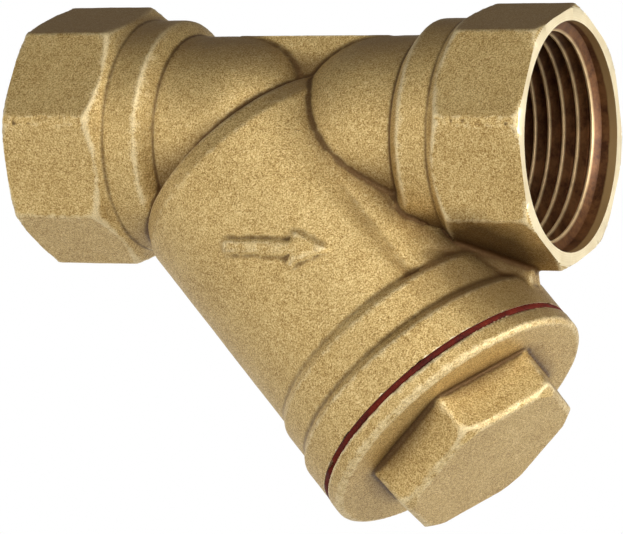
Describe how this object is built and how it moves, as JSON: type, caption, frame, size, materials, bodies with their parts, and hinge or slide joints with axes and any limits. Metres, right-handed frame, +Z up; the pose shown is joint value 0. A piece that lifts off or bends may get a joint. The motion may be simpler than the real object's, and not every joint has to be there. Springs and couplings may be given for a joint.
{
  "type": "sediment strainer",
  "caption": "Threaded brass Y-pattern sediment strainer: octagonal pipe ends on one axis, oblique branch with a removable screen under a gasketed screw cap.",
  "frame": {"origin": "centre of the inlet face, on the run's axis", "axes": "+X along the run from inlet to outlet, +Z up and away from the branch, +Y to the far side in the picture"},
  "size_m": [0.0668, 0.0346, 0.0607],
  "materials": {
    "cast_brass": "shot-blasted casting with machined end faces",
    "cap_brass": "shot-blasted forging",
    "red_fibre": "matt pressed fibre",
    "stainless": "perforated sheet"
  },
  "bodies": {
    "casting": {"body": "cast_brass"},
    "gasket_ring": {"gasket": "red_fibre"},
    "screw_cap": {"cap": "cap_brass"},
    "strainer_screen": {"screen": "stainless"}
  },
  "joints": [
    {"name": "gasket_lift", "type": "slide", "parent": "casting", "child": "gasket_ring", "axis": [0.6947, 0, -0.7193], "range_m": [0, 0.042]},
    {"name": "cap_screw", "type": "hinge", "parent": "gasket_ring", "child": "screw_cap", "pos_m": [0.02245, 0, 0], "axis": [0.6947, 0, -0.7193], "range_deg": [0, 10080]},
    {"name": "screen_lift", "type": "slide", "parent": "casting", "child": "strainer_screen", "axis": [0.6947, 0, -0.7193], "range_m": [0, 0.042]}
  ],
  "couplings": [
    {"joint": "gasket_lift", "follows": "cap_screw", "m_per_rad": 0.00023873},
    {"joint": "screen_lift", "follows": "cap_screw", "m_per_rad": 0.00023873}
  ]
}
